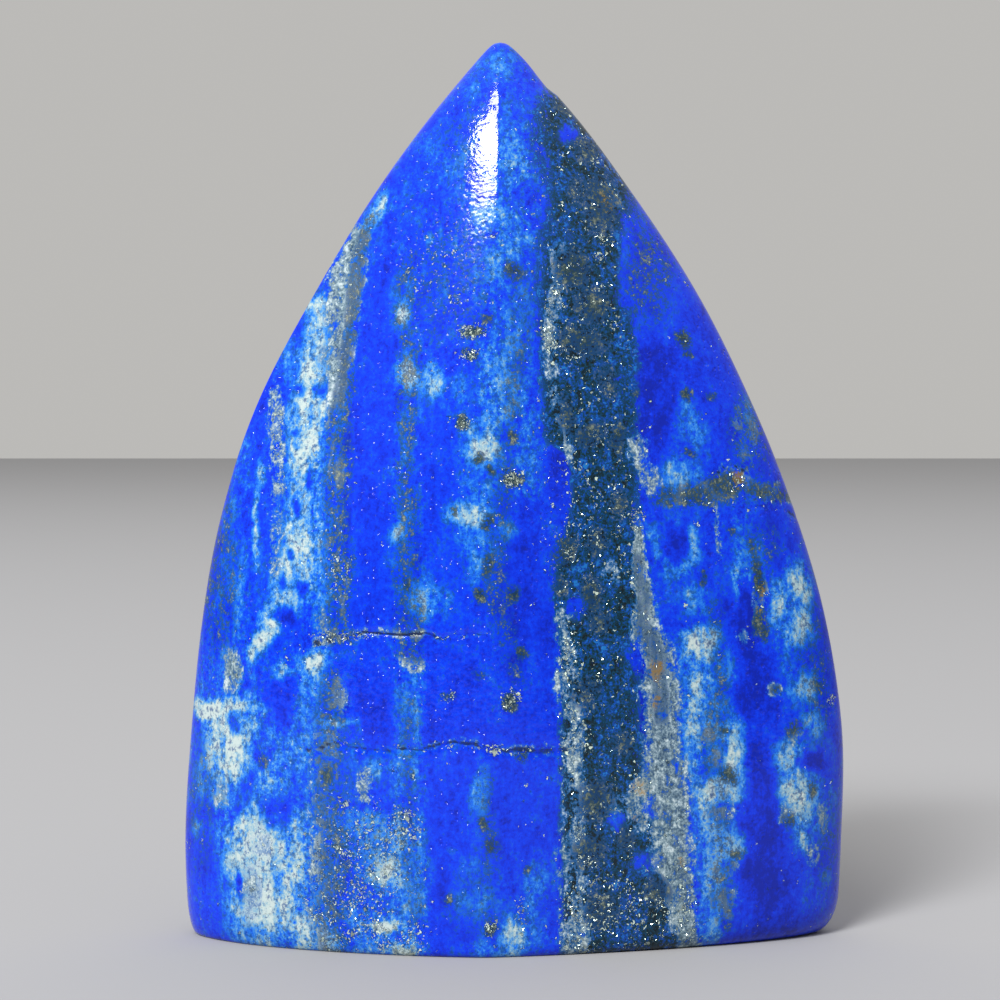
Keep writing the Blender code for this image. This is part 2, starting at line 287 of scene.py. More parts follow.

# Stripes and wide patches that are only sprinkled with olive and dark teal grains. One on the left edge is
# partly painted shade.
OLIVE_STRIPES = (
    (0.35, ((60, -9.6, 0.8), (52, -9.4, 0.9), (44, -9.5, 0.7), (36, -9.3, 1), (30, -9.1, 1.2),
            (26, -9, 0.9))),
    (0.24, ((22, -9.2, 0.8), (16, -9.2, 0.7), (10, -9, 0.8), (3, -8.6, 0.8))),
    (0.38, ((52, -14.8, 0.7), (45, -15.4, 1), (38, -15.5, 1), (33, -15.4, 1.1), (27, -15.2, 1))),
    (0.34, ((24, -15.8, 1), (18, -16, 1.3), (12, -16, 1.3), (6, -15.6, 1.3), (0, -15.8, 1.2))),
    (0.44, ((64, -12.6, 0.4), (60, -13.9, 0.6), (55, -14.4, 0.7), (51, -14.9, 0.6))),
    (0.28, ((59, 0.4, 0.8), (54, 0.6, 0.9), (46, -0.6, 0.8), (38, -1.4, 0.9), (30, -1.4, 1),
            (24, 0.2, 0.8))),
    (0.24, ((16, -2.4, 0.7), (10, -2.2, 0.8), (3, -2, 1))),
    (0.3, ((30, 17.6, 0.7), (24, 17.8, 0.8), (17, 17.4, 0.8), (9, 18, 1), (2, 18.2, 0.9))),
    (0.28, ((34, 10.7, 0.4), (29, 11.3, 0.6), (25, 12.4, 0.8), (20, 12.8, 0.7))),
)
SPRINKLED_AND_EDGE_SHADE = (
    (-6, 58.5, 4.2, 6, 0.2), (-4.6, 71, 2.4, 4, 0.18), (11.8, 59.5, 1.9, 4.6, 0.34), (-13, 9, 3.6, 5, 0.17),
    # The first patch on the next line, along the left edge, is partly real dark teal grains and partly
    # painted shade: it darkens that edge for the shade that falls on it.
    (-26.4, 33, 1.8, 7, 0.31), (20.8, 44.6, 2.2, 3.4, 0.28), (22, 34.8, 2, 2.6, 0.24),
    (-4, 4, 2.6, 3.6, 0.17), (26.8, 24, 1.6, 6, 0.26), (-28, 12, 1.4, 6, 0.24), (28, 8, 1.4, 4, 0.22),
)

# Olive spots, where pyrite stands in a dark rim: across, up, half width, half height and strength.
OLIVE_SIZE = 0.75
OLIVE_SPOTS = (
    (18.6, 15, 0.8, 0.8, 0.8), (18.4, 19.2, 0.7, 0.5, 0.7), (19.2, 8, 0.9, 0.6, 0.7),
    (22.4, 27.6, 0.5, 1, 0.8), (24.6, 18.8, 0.9, 0.7, 0.7), (26.2, 13.6, 0.5, 1, 0.6),
    (24.2, 10.6, 0.7, 0.8, 0.6), (27, 22.4, 0.5, 0.7, 0.6), (-22, 16.4, 0.5, 0.9, 0.5),
    (0, 59.1, 0.8, 0.8, 0.8), (-3.5, 53.7, 0.9, 0.6, 1), (-2.6, 54.8, 0.8, 0.4, 0.7),
    (-3.8, 51.8, 0.6, 0.5, 0.8), (-4.5, 45.9, 0.6, 0.6, 1), (-3.2, 42.6, 0.6, 0.6, 0.9),
    (-1.9, 41.6, 0.5, 0.6, 0.8), (-0.2, 41, 0.9, 0.7, 1), (-0.2, 44.8, 0.5, 0.8, 0.8),
    (-2.3, 37.4, 0.5, 0.7, 0.8), (-5.1, 38.2, 0.4, 0.4, 0.7), (-2.2, 33.6, 0.7, 1.3, 0.7),
    (-2.8, 31.2, 0.7, 0.7, 0.9), (-0.2, 31.2, 0.6, 0.7, 0.9), (14.8, 53.4, 0.8, 0.9, 0.8),
    (15.2, 52.2, 0.7, 0.5, 0.7), (15.1, 48.2, 0.7, 0.7, 0.8), (17.4, 48.2, 0.4, 0.5, 0.6),
    (10.8, 48.3, 0.6, 0.4, 0.7), (15, 43.2, 0.7, 0.4, 0.6), (16.6, 32.3, 0.5, 0.8, 0.7),
    (19.2, 36.6, 0.6, 0.5, 0.5), (0.7, 26, 0.7, 0.5, 0.8), (-0.5, 22, 0.9, 1.1, 1),
    (-5.7, 22.4, 0.9, 0.4, 0.6), (-2.6, 11.5, 0.5, 0.7, 0.8), (-2.2, 9.7, 0.6, 0.6, 0.8),
    (-1.8, 2.5, 0.7, 0.6, 0.9), (-5.7, 4.8, 0.6, 0.6, 0.6), (1.1, 7.3, 0.6, 0.5, 0.7),
    (-16.2, 15.5, 0.9, 1.1, 0.6), (-9.2, 32.1, 0.5, 0.7, 0.7), (-8.5, 33.6, 0.4, 0.4, 0.7),
    (-2.8, 24.4, 0.5, 0.4, 0.5), (0.5, 17.4, 0.6, 0.5, 0.6), (22.8, 22.6, 0.5, 0.5, 0.7),
)

# Where pyrite glints: across, up, half width, half height and how dense it is.
FLECK_SPOTS = (
    (-0.4, 22.2, 0.6, 0.7, 2), (-9.4, 11.2, 0.9, 1.5, 1), (-9.8, 10, 1.1, 0.6, 1.1),
    (-11.6, 7.6, 1, 0.8, 0.9), (-13.4, 6.4, 3.4, 4.6, 0.44), (-16, 2.6, 1.6, 2.4, 0.6),
    (-15, 9.6, 1.3, 1, 0.7), (-10.6, 1.4, 2.4, 1.6, 0.5), (-3.5, 53.7, 0.7, 0.5, 2),
    (-3.8, 51.9, 0.6, 0.4, 1.4), (-4.5, 45.9, 0.5, 0.4, 2), (-0.2, 41, 0.6, 0.5, 1.4),
    (-6, 59.4, 3.4, 3, 0.12), (8, 62.3, 0.5, 0.5, 1), (7.4, 60.6, 0.4, 0.4, 0.9),
    (8.7, 54.3, 0.5, 0.6, 0.9), (3.8, 56.6, 0.7, 1, 0.9), (3.2, 53.2, 0.6, 1.4, 0.9),
    (5, 52, 0.7, 0.6, 0.8), (10.7, 37.6, 0.5, 0.8, 1), (4.8, 35, 0.7, 0.6, 0.7), (6.2, 40, 3, 9, 0.16),
    (4.9, 26.4, 0.7, 1.3, 0.9), (5.3, 24.4, 0.5, 0.7, 0.8), (4.9, 20.4, 0.5, 2.6, 0.5),
    (5.8, 17.8, 0.8, 0.6, 0.8), (5.5, 11.3, 0.6, 0.5, 1), (6.2, 8.2, 0.6, 1, 0.5),
    (5.3, 4.4, 0.8, 1.4, 0.8), (5.4, 0.8, 1.1, 0.9, 0.9), (8.8, 3, 3.4, 2.6, 0.42),
    (12.4, 4.6, 0.8, 0.8, 0.6), (19.6, 40.7, 0.5, 0.5, 1), (17.2, 38.8, 0.4, 0.4, 0.7),
    (0.8, 3.4, 0.4, 1.8, 0.8), (-1.8, 2.5, 0.6, 0.5, 0.7), (-2, 17.9, 0.5, 0.4, 0.9),
    (-14.5, 27.4, 2.6, 0.3, 0.8), (-21.2, 45.4, 0.6, 1.4, 0.6), (28.3, 21.3, 0.4, 0.5, 0.6),
    (15, 2.8, 0.7, 1.6, 0.7), (14.6, 7.4, 0.6, 0.8, 0.5), (-15.4, 33, 0.6, 1.8, 0.4),
    (-5.7, 22.4, 0.8, 0.3, 0.5),
)
FLECK_IN_DARK = 0.09
FLECK_IN_GREY = 0.07
FLECK_ELSEWHERE = 0.006

RUST_SPOTS = (
    (12.1, 24.3, 0.7, 0.8, 0.85), (12.2, 21.8, 0.5, 0.6, 0.75), (19.7, 40.7, 0.5, 0.6, 1.1),
    (8.1, 65.2, 0.9, 1.2, 0.35), (14.6, 7.6, 0.5, 0.5, 0.5), (11.2, 14.2, 0.9, 0.8, 0.5),
    (21.5, 30.6, 0.4, 1.8, 0.4), (10.8, 11.6, 0.7, 0.6, 0.5),
)

# Hairline cracks: strength, half width, then points across and up.
CRACKS = (
    (1, 0.1, ((-17.4, 26.9), (-15.6, 27.2), (-13, 27.5), (-10, 27.5), (-8.2, 27.7))),
    (0.4, 0.1, ((-8.2, 27.7), (-5, 27.5), (-2.6, 27.7))),
    (0.5, 0.12, ((-18.4, 17.8), (-15, 18.2), (-12.6, 17.6), (-10, 17.5))),
    (0.54, 0.15, ((-10, 17.5), (-8, 18), (-5.6, 18.4), (-3.2, 18.2), (-1.8, 17.9), (4.4, 17.7))),
    (0.34, 0.11, ((19.6, 38.9), (21.6, 38.7), (23, 38.6), (24.6, 37.8), (25.2, 37.2))),
    (0.5, 0.09, ((16.4, 41.2), (18, 41.4), (19, 41.9), (20.6, 41.6))),
)

# The seam of grey grains and pyrite along each crack.
SEAM_WIDTH = 0.42
GREY_BY_CRACK = 0.46
FLECK_BY_CRACK = 0.22

# The camera, as the photograph was taken. Its picture is square.
CAMERA_AT = (-1.29, -215.7, 44.3)
CAMERA_TILT_DOWN = 1.4
CAMERA_LENS = 86.4
CAMERA_SENSOR = 36.0

# The studio: a dome that is dim near the horizon and bright overhead, with a bright wall behind the
# stone that lights its back. The camera sees a pale backdrop in its place. FLOOR_REACH is in metres.
DOME_RANGE = (0.20, 0.9)
WALL_BEHIND = 0.8
WALL_IN_REFLECTIONS = 0.25
BACKDROP = 0.50
SKY_COLOUR = (1.0, 0.985, 0.955, 1.0)
FLOOR_COLOUR = (0.32, 0.32, 0.33)
FLOOR_REACH = 6.0

# The key light is two soft ovals, which the polish mirrors as one drop: degrees to the right of the
# front, degrees above level, length and width in metres, degrees that the length leans, and power.
# The last two values are the point they aim at and how far from it they stand, in metres.
KEYS = {
    "key_low": (-31.4, 35.1, (1.22, 0.50), 0.0, 76.0),
    "key_high": (-26.6, 46.0, (1.33, 0.47), 50.0, 58.0),
}
KEY_AIM = (0.0, 0.0, 0.06)
KEY_AWAY = 3.0


def smooth_step(value):
    share = np.clip(value, 0, 1)
    return share**2 * (3 - 2 * share)


def smooth_column(height, column):
    """One column of OUTLINE at these heights, on a cubic curve through its rows."""
    rows = np.array(OUTLINE)
    levels, values = rows[:, 0], rows[:, column]
    slopes = np.gradient(values, levels)
    low = np.clip(np.searchsorted(levels, height, side="right") - 1, 0, len(levels) - 2)
    span = levels[low + 1] - levels[low]
    share = (height - levels[low]) / span
    rest = 1 - share
    start = rest**2 * (1 + 2 * share) * values[low] + rest**2 * share * span * slopes[low]
    end = share**2 * (1 + 2 * rest) * values[low + 1] - share**2 * rest * span * slopes[low + 1]
    return start + end


def tip_share(height):
    below = HEIGHT - height
    return np.sqrt(below * (below + 2 * TIP_ROUNDING)) / (below + TIP_ROUNDING)


def chip(angle, height):
    above_ledge = smooth_step((height - CHIP_LEDGE) / CHIP_STEP)
    below_top = smooth_step((CHIP_TOP - height) / (CHIP_TOP - CHIP_LEDGE - CHIP_STEP))
    on_right = np.clip(np.cos(angle), 0, 1) ** CHIP_NARROWING
    return CHIP_DEPTH * above_ledge * below_top * on_right


def toward(compass, lift):
    """The direction this many degrees to the right of the front and this many above level."""
    turn, lift = math.radians(compass), math.radians(lift)
    return (math.sin(turn) * math.cos(lift), -math.cos(turn) * math.cos(lift), math.sin(lift))


def grind(points):
    """Moves what stands proud of a flat back onto it, with a soft edge round each flat."""
    for compass, tilt, distance in FLATS:
        proud = points @ np.array(toward(compass, tilt)) - distance
        edge = np.clip(proud, -GRIND_SOFTNESS, GRIND_SOFTNESS) + GRIND_SOFTNESS
        cut = np.maximum(edge**2 / (4 * GRIND_SOFTNESS), proud)
        points = points - cut[..., None] * np.array(toward(compass, 0))
    return points


def wall(angle, height):
    """Points of the stone's side. Angle 0 is the right end, and 90 degrees is the front ridge."""
    share = tip_share(height)
    ridge = RIDGE_AT_FOOT + (TIP_ACROSS - RIDGE_AT_FOOT) * height / HEIGHT
    to_right = (smooth_column(height, 2) - ridge) * share
    to_left = (ridge - smooth_column(height, 1)) * share
    in_front = smooth_column(height, 3) * share
    behind = smooth_column(height, 4) * share
    across, along = np.cos(angle), np.sin(angle)
    front_power = np.where(across > 0, FRONT_RIGHT_RIDGE_POWER, FRONT_LEFT_RIDGE_POWER)
    ridge_power = np.where(along > 0, front_power, BACK_RIDGE_POWER)
    reach = np.where(across > 0, to_right, to_left) * np.sign(across)
    depth = np.where(along > 0, in_front, behind) * np.sign(along)
    x = ridge + reach * np.abs(across) ** (2 / ridge_power) - chip(angle, height)
    y = -depth * np.abs(along) ** (2 / END_POWER)
    return grind(np.stack((x, y, height), axis=-1))


def level_normal(angle, height):
    """The wall's outward direction, level, from two points close beside each one."""
    run = wall(angle - NORMAL_STEP, height) - wall(angle + NORMAL_STEP, height)
    normal = np.stack((run[..., 1], -run[..., 0], np.zeros_like(height)), axis=-1)
    return normal / np.linalg.norm(normal, axis=-1, keepdims=True)


def foot_rounding(angle):
    """How high the foot's rounding reaches at each angle, and how far it draws in."""
    at_end = np.abs(np.cos(angle)) ** ROUNDING_TO_ENDS
    right = np.cos(angle) > 0
    return [
        face + (np.where(right, right_end, left_end) - face) * at_end
        for face, left_end, right_end in zip(FACE_ROUNDING, LEFT_ROUNDING, RIGHT_ROUNDING)
    ]


def even_angles():
    """Angles that put the ring's points evenly along the front, and further apart on the back."""
    tries = np.linspace(0, 2 * math.pi, ANGLE_TRIES)
    points = wall(tries, np.full_like(tries, HEIGHT / 3))
    steps = np.linalg.norm(np.diff(points, axis=0), axis=1)
    steps *= np.where(np.sin((tries[1:] + tries[:-1]) / 2) > 0, 1, BACK_SHARE)
    along = np.concatenate(((0,), np.cumsum(steps)))
    wanted = np.arange(RING_POINTS) / RING_POINTS * along[-1]
    return np.interp(wanted, along, tries)


def row_shares():
    """How far up the wall each row is, with more rows where the cracks are and at the tip."""
    tries = np.linspace(0, 1, ROW_TRIES)
    weight = np.ones_like(tries)
    for level in CRACK_ROWS_AT:
        weight += CRACK_ROWS_GAIN * np.exp(-(((tries * HEIGHT - level) / CRACK_ROWS_REACH) ** 2))
    weight += TIP_ROWS_GAIN * np.exp(-(1 - tries) * HEIGHT)
    along = np.concatenate(((0,), np.cumsum((weight[1:] + weight[:-1]) / 2)))
    wanted = np.arange(WALL_ROWS) / WALL_ROWS * along[-1]
    return np.interp(wanted, along, tries)


def stone_rows():
    """The wall's points as rows by ring, from the foot's plane up, and each point's level normal."""
    angle = even_angles()
    rise, inset = foot_rounding(angle)
    angles, heights, insets = [], [], []
    for step in range(ROUNDING_ROWS):
        turn = math.radians(90) * step / ROUNDING_ROWS
        angles.append(angle)
        heights.append(rise * (1 - math.cos(turn)))
        insets.append(inset * (1 - math.sin(turn)))
    for share in row_shares():
        angles.append(angle)
        heights.append(rise + (HEIGHT - rise) * share)
        insets.append(np.zeros_like(angle))
    angles, heights, insets = np.array(angles), np.array(heights), np.array(insets)
    normals = level_normal(angles, heights)
    return wall(angles, heights) - insets[..., None] * normals, normals


def wandered(points):
    """The points' places with the slow drift that keeps the markings from looking drawn."""
    noise.seed_set(WANDER_SEED)
    moved = points.copy()
    for scale, reach in WANDER:
        drift = [noise.noise_vector(Vector(point) * scale) for point in points]
        moved += reach * np.array(drift)
    return moved


def falloff(distance):
    """1 well inside a marking, about 0.65 on its edge at distance 1, and 0 from GONE_BEYOND on."""
    return smooth_step((GONE_BEYOND - distance) / (GONE_BEYOND - FULL_WITHIN))


class Markings:
    """Where each point lies among the layers: across, up, and how far past the front and the back."""

    def __init__(self, points):
        moved = wandered(points)
        depth = points[:, 1]
        self.still = points[:, 0] + LAYER_LEAN * np.maximum(depth, 0)
        self.across = moved[:, 0] + LAYER_LEAN * np.maximum(depth, 0)
        self.up = moved[:, 2]
        self.behind = np.maximum(depth - FRONT_FADE[0], 0) / FRONT_FADE[1]
        self.before = np.maximum(BACK_FADE[0] - depth, 0) / BACK_FADE[1]

    def patch(self, across, up, half_width, half_height, strength, at_back=False):
        """A round patch's strength at each point. It is on one side of the stone only."""
        depth = self.before if at_back else self.behind
        far = np.sqrt(
            ((self.across - across) / half_width) ** 2
            + ((self.up - up) / half_height) ** 2
            + depth**2
        )
        return strength * falloff(far)

    def stripe(self, strength, knots):
        rows = np.array(sorted(knots))
        middle = np.interp(self.up, rows[:, 0], rows[:, 1])
        half_width = np.interp(self.up, rows[:, 0], rows[:, 2])
        beyond = np.maximum(rows[0, 0] - self.up, self.up - rows[-1, 0])
        fade = falloff(np.maximum(beyond, 0) + STRIPE_END)
        return strength * fade * falloff(np.abs(self.across - middle) / half_width)

    def crack(self, strength, half_width, corners):
        nearest = np.full(len(self.up), np.inf)
        for start, end in zip(corners, corners[1:]):
            start, run = np.array(start), np.array(end) - np.array(start)
            offset = np.stack((self.across, self.up), axis=-1) - start
            share = np.clip(offset @ run / (run @ run), 0, 1)
            nearest = np.minimum(nearest, np.linalg.norm(offset - share[:, None] * run, axis=1))
        return strength * falloff(nearest / half_width) * (self.behind < CRACKS_UP_TO)

    def patches(self, listed):
        """The strongest of the listed patches at each point."""
        return np.max([self.patch(*each) for each in listed], axis=0)

    def stripes(self, listed):
        """The strongest of the listed stripes at each point."""
        return np.max([self.stripe(*each) for each in listed], axis=0)


def back_patches(seed, count, strength, size):
    """Patches scattered over the back, taller than they are wide, as on the front."""
    draw = np.random.default_rng(seed)
    found = []
    for _ in range(count):
        across, up = draw.uniform(*BACK_ACROSS), draw.uniform(*BACK_UP)
        width = size * draw.uniform(*BACK_WIDTHS)
        height = width * draw.uniform(*BACK_STRETCH)
        found.append((across, up, width, height, strength * draw.uniform(*BACK_STRENGTHS), True))
    return found


def strongest(*amounts):
    return np.max(np.broadcast_arrays(*amounts), axis=0)


def blue_tone(marks):
    """How light the blue is at each point, before its noise."""
    stripes = sum(marks.stripe(*each) for each in TONE_STRIPES)
    return BASE_TONE + stripes - marks.patches(DEEP_SPOTS)


def dark_band(marks):
    """How much each point is in the dark band, less the islands in it."""
    rows = np.array(sorted(DARK_BAND))
    left = np.interp(marks.up, rows[:, 0], rows[:, 1])
    right = np.interp(marks.up, rows[:, 0], rows[:, 2])
    softness = np.interp(marks.up, *zip(*DARK_LEFT_SOFTNESS))
    past_left = smooth_step((marks.still - left) / softness / 2 + 0.5)
    before_right = smooth_step((right - marks.across) / DARK_RIGHT_SOFTNESS / 2 + 0.5)
    islands = sum(marks.patch(*each) for each in DARK_ISLANDS)
    return np.minimum(past_left, before_right) - islands


def olive_spots():
    """Every olive spot, with the free ones at their final size, and the sprinkled patches, of which one on
    the left edge is partly painted shade.
    """
    free = [
        (across, up, OLIVE_SIZE * half_width, OLIVE_SIZE * half_height, strength)
        for across, up, half_width, half_height, strength in OLIVE_SPOTS
    ]
    return free + list(OLIVE_IN_DARK) + list(SPRINKLED_AND_EDGE_SHADE) + back_patches(*BACK_OLIVE)


def paint(points):
    """Each marking's strength at each point, by name."""
    marks = Markings(points)
    dark = dark_band(marks)
    cracks = [marks.crack(*each) for each in CRACKS]
    seams = [marks.crack(strength, SEAM_WIDTH, corners) for strength, _, corners in CRACKS]
    seam = strongest(*seams)
    grey = strongest(marks.stripes(GREY_STRIPES), marks.patches(GREY_PATCHES), GREY_BY_CRACK * seam)
    spots = marks.patches(list(FLECK_SPOTS) + back_patches(*BACK_FLECKS))
    spread = strongest(FLECK_ELSEWHERE, FLECK_IN_DARK * dark, FLECK_IN_GREY * grey)
    pale_patches_and_tip_reflection = marks.patches(list(PALE_PATCHES_AND_TIP_REFLECTION) + back_patches(*BACK_PALE))
    return {
        "tone": blue_tone(marks),
        "pale": strongest(marks.stripes(PALE_STRIPES), pale_patches_and_tip_reflection),
        "dark": dark,
        "olive": strongest(marks.stripes(OLIVE_STRIPES), marks.patches(olive_spots())),
        "grey": grey,
        "fleck": strongest(spots, spread, FLECK_BY_CRACK * seam),
        "rust": marks.patches(RUST_SPOTS),
        "crack": strongest(*cracks),
    }


def relief(points, marks):
    """How far the surface lies below the smooth solid."""
    waves = np.array([noise.noise(Vector(point) * WAVE_SCALE) for point in points])
    return (
        WAVE_DEPTH * (waves + 1) / 2
        + CRACK_DEPTH * marks["crack"]
        + GREY_DEPTH * marks["grey"]
        + DARK_DEPTH * marks["dark"]
    )


def fit_to_model(points):
    """Moves and stretches the points a little, so that they fill the solid's box exactly."""
    low, high = (np.array(corner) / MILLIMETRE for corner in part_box(STONE))
    share = (points - points.min(0)) / (points.max(0) - points.min(0))
    return low + share * (high - low)


def foot_points(rim):
    """Rows inside the foot's rim, closing on its middle line, so that the foot has markings too."""
    found = []
    for row in range(1, FOOT_ROWS + 1):
        share = 1 - row / (FOOT_ROWS + 1)
        found.append(rim * (FOOT_LINE + (1 - FOOT_LINE) * share, share, 1))
    return found


def sunk(points, normals):
    """The points moved inward by the surface's relief, which fades out towards the foot."""
    depth = relief(points, paint(points)) * smooth_step(points[:, 2] / SMOOTH_FOOT)
    return points - depth[:, None] * normals


def stone_points():
    """Every point of the skin: the wall's rings from the foot up, the tip, then the rings in the foot
    and its middle. Also how many rings the wall has.
    """
    rows, normals = stone_rows()
    tip = np.array((TIP_ACROSS, 0.0, HEIGHT))
    points = fit_to_model(np.concatenate((rows.reshape(-1, 3), tip[None])))
    points = sunk(points, np.concatenate((normals.reshape(-1, 3), np.zeros((1, 3)))))
    foot = np.concatenate(foot_points(points[:RING_POINTS]))
    middle = foot[-RING_POINTS:].mean(0)
    return np.concatenate((points, foot, middle[None])), len(rows)


def band(first, second):
    """The faces between two rings, given the number of each ring's first point."""
    here = np.arange(RING_POINTS)
    there = (here + 1) % RING_POINTS
    return np.stack((first + here, first + there, second + there, second + here), axis=-1).tolist()


def cap(ring, centre):
    """The faces between a ring and one point."""
    here = np.arange(RING_POINTS)
    there = (here + 1) % RING_POINTS
    return np.stack((ring + here, ring + there, np.full_like(here, centre)), axis=-1).tolist()


def stone_faces(ring_count, foot_middle):
    """The faces of the wall, the tip and the foot."""
    tip = ring_count * RING_POINTS
    faces = cap(tip - RING_POINTS, tip)
    for ring in range(ring_count - 1):
        faces += band(ring * RING_POINTS, (ring + 1) * RING_POINTS)
    outer = 0
    for row in range(FOOT_ROWS):
        inner = tip + 1 + row * RING_POINTS
        faces += band(inner, outer)
        outer = inner
    return faces + cap(outer, foot_middle)


def stone_object():
    """The whole stone as one closed skin with its markings stored on its points."""
    points, ring_count = stone_points()
    mesh = bpy.data.meshes.new("lapis_stone")
    mesh.from_pydata((points * MILLIMETRE).tolist(), [], stone_faces(ring_count, len(points) - 1))
    builder = bmesh.new()
    builder.from_mesh(mesh)
    bmesh.ops.recalc_face_normals(builder, faces=builder.faces)
    builder.to_mesh(mesh)
    builder.free()
    mesh.shade_smooth()
    for name, values in paint(points).items():
        layer = mesh.attributes.new(name, "FLOAT", "POINT")
        layer.data.foreach_set("value", values.astype(np.float32))
    stone = bpy.data.objects.new("lapis_stone", mesh)
    bpy.context.scene.collection.objects.link(stone)
    return stone


class Graph:
    """Short ways to add nodes to a material or to the world."""

    def __init__(self, owner, shader="Principled BSDF"):
        owner.use_nodes = True
        self.owner = owner
        self.tree = owner.node_tree
        self.shader = self.tree.nodes[shader]

    def node(self, kind, settings=None, **inputs):
        made = self.tree.nodes.new(kind)
        for name, value in (settings or {}).items():
            setattr(made, name, value)
        for name, value in inputs.items():
            self.feed(made.inputs[name.replace("_", " ")], value)
        return made

    def feed(self, socket, value):
        if isinstance(value, bpy.types.NodeSocket):
            self.tree.links.new(value, socket)
        else:
            socket.default_value = value

    def math(self, operation, first, second=0.0, third=0.0):
        made = self.node("ShaderNodeMath", {"operation": operation})
        for socket, value in zip(made.inputs, (first, second, third)):
            self.feed(socket, value)
        return made.outputs[0]

    def vector(self, operation, first, second):
        made = self.node("ShaderNodeVectorMath", {"operation": operation})
        self.feed(made.inputs[0], first)
        self.feed(made.inputs[1], second)
        return made.outputs[0]

    def attribute(self, name):
        return self.node("ShaderNodeAttribute", {"attribute_name": name}).outputs["Fac"]

    def noise(self, place, scale, detail, roughness, distortion):
        made = self.node(
            "ShaderNodeTexNoise",
            Vector=place,
            Scale=scale,
            Detail=detail,
            Roughness=roughness,
            Distortion=distortion,
        )
        return made.outputs["Fac"]

    def cells(self, place, scale):
        return self.node("ShaderNodeTexVoronoi", Vector=place, Scale=scale)

    def step(self, value, low, high):
        """0 below low and 1 above high, with a smooth rise between."""
        smooth = {"interpolation_type": "SMOOTHSTEP"}
        made = self.node("ShaderNodeMapRange", smooth, Value=value, From_Min=low, From_Max=high)
        return made.outputs["Result"]

    def between(self, value, low, high):
        """Low where value is 0 or less, and high where it is 1."""
        return self.node("ShaderNodeMapRange", Value=value, To_Min=low, To_Max=high).outputs["Result"]

    def mix(self, share, first, second):
        """Mixes two colours. The node's colour sockets share their names, so they go by number."""
        made = self.node("ShaderNodeMix", {"data_type": "RGBA"})
        self.feed(made.inputs[0], share)
        self.feed(made.inputs[6], first)
        self.feed(made.inputs[7], second)
        return made.outputs[2]

    def ramp(self, value, stops):
        made = self.node("ShaderNodeValToRGB", Fac=value)
        elements = made.color_ramp.elements
        while len(elements) < len(stops):
            elements.new(0.5)
        for element, (place, colour) in zip(elements, stops):
            element.position = place
            element.color = (*colour, 1.0)
        return made.outputs["Color"]


# Noises in the stone: stretch upright, scale per millimetre, detail, roughness and distortion.
NOISES = {
    "clouds": (0.55, 0.45, 9.0, 0.68, 0.3),
    "clumps": (0.55, 0.85, 8.0, 0.74, 0.5),
    "streaks": (0.10, 1.9, 4.0, 0.65, 0.0),
    "mottle": (1.0, 1.9, 6.0, 0.70, 0.0),
    "dots": (0.8, 2.3, 4.0, 0.72, 0.0),
    "grain": (1.0, 5.0, 3.0, 0.70, 0.0),
    "bunches": (1.0, 0.8, 3.0, 0.60, 0.0),
    "peel": (1.0, 2.4, 1.0, 0.50, 0.0),
}

# How far each noise swings a value: the tone, the edges of the markings, and grains inside them.
TONE_SWING = (("clouds", 0.95), ("streaks", 0.30))
FINE_SWING = (("mottle", 0.85), ("grain", 0.40))
EDGE_SWING = (("clumps", 2.3), ("mottle", 1.1), ("grain", 0.7))
SOFT_EDGE_SWING = (("clumps", 2.2), ("mottle", 0.7), ("grain", 0.25))
SMALL_EDGE_SWING = (("clumps", 1.0), ("mottle", 2.1), ("grain", 1.5))
PATCHY_SWING = (("clumps", 1.2), ("mottle", 1.2), ("grain", 0.9))
FIBRE_SWING = (("streaks", 0.5), ("clumps", 1.1), ("mottle", 1.3), ("grain", 0.8))
PATCHY_MIDDLE = 0.5
FIBRE_MIDDLE = 0.47

# How much of the edge swing each marking gets, and the strength from which it gets all of that.
FRAY = {"pale": 0.62, "dark": 0.9, "grey": 1.4, "olive": 1.2, "rust": 1.2, "crack": 0.8}
FRAY_FROM = 0.35

# Colours along each kind of marking, from its darkest grains to its lightest.
TONE_COLOURS = (
    (0.00, (0.001, 0.012, 0.30)),
    (0.14, (0.001, 0.021, 0.52)),
    (0.28, (0.001, 0.036, 0.65)),
    (0.40, (0.003, 0.066, 0.55)),
    (0.52, (0.008, 0.118, 0.59)),
    (0.63, (0.028, 0.190, 0.600)),
    (0.75, (0.120, 0.295, 0.500)),
    (0.86, (0.262, 0.395, 0.450)),
    (1.00, (0.425, 0.510, 0.500)),
)
DARK_COLOURS = (
    (0.22, (0.002, 0.006, 0.008)),
    (0.33, (0.002, 0.013, 0.022)),
    (0.44, (0.001, 0.029, 0.053)),
    (0.54, (0.001, 0.046, 0.126)),
    (0.62, (0.001, 0.028, 0.300)),
    (0.74, (0.008, 0.130, 0.380)),
)
OLIVE_COLOURS = (
    (0.26, (0.002, 0.008, 0.010)),
    (0.44, (0.006, 0.025, 0.032)),
    (0.59, (0.028, 0.052, 0.048)),
    (0.74, (0.110, 0.135, 0.105)),
    (0.95, (0.280, 0.310, 0.260)),
)
GREY_COLOURS = (
    (0.24, (0.016, 0.036, 0.055)),
    (0.38, (0.060, 0.105, 0.135)),
    (0.52, (0.140, 0.210, 0.245)),
    (0.64, (0.275, 0.360, 0.385)),
    (0.78, (0.500, 0.580, 0.590)),
)
TEAL = (0.008, 0.120, 0.380, 1.0)
DARK_TEAL = (0.003, 0.044, 0.160, 1.0)
SPECK = (0.003, 0.050, 0.200, 1.0)
RUST = (0.200, 0.120, 0.020, 1.0)
CRACK_COLOUR = (0.002, 0.008, 0.050, 1.0)
PYRITE = (0.74, 0.88, 0.74, 1.0)
PYRITE_RIM = (0.002, 0.022, 0.045, 1.0)

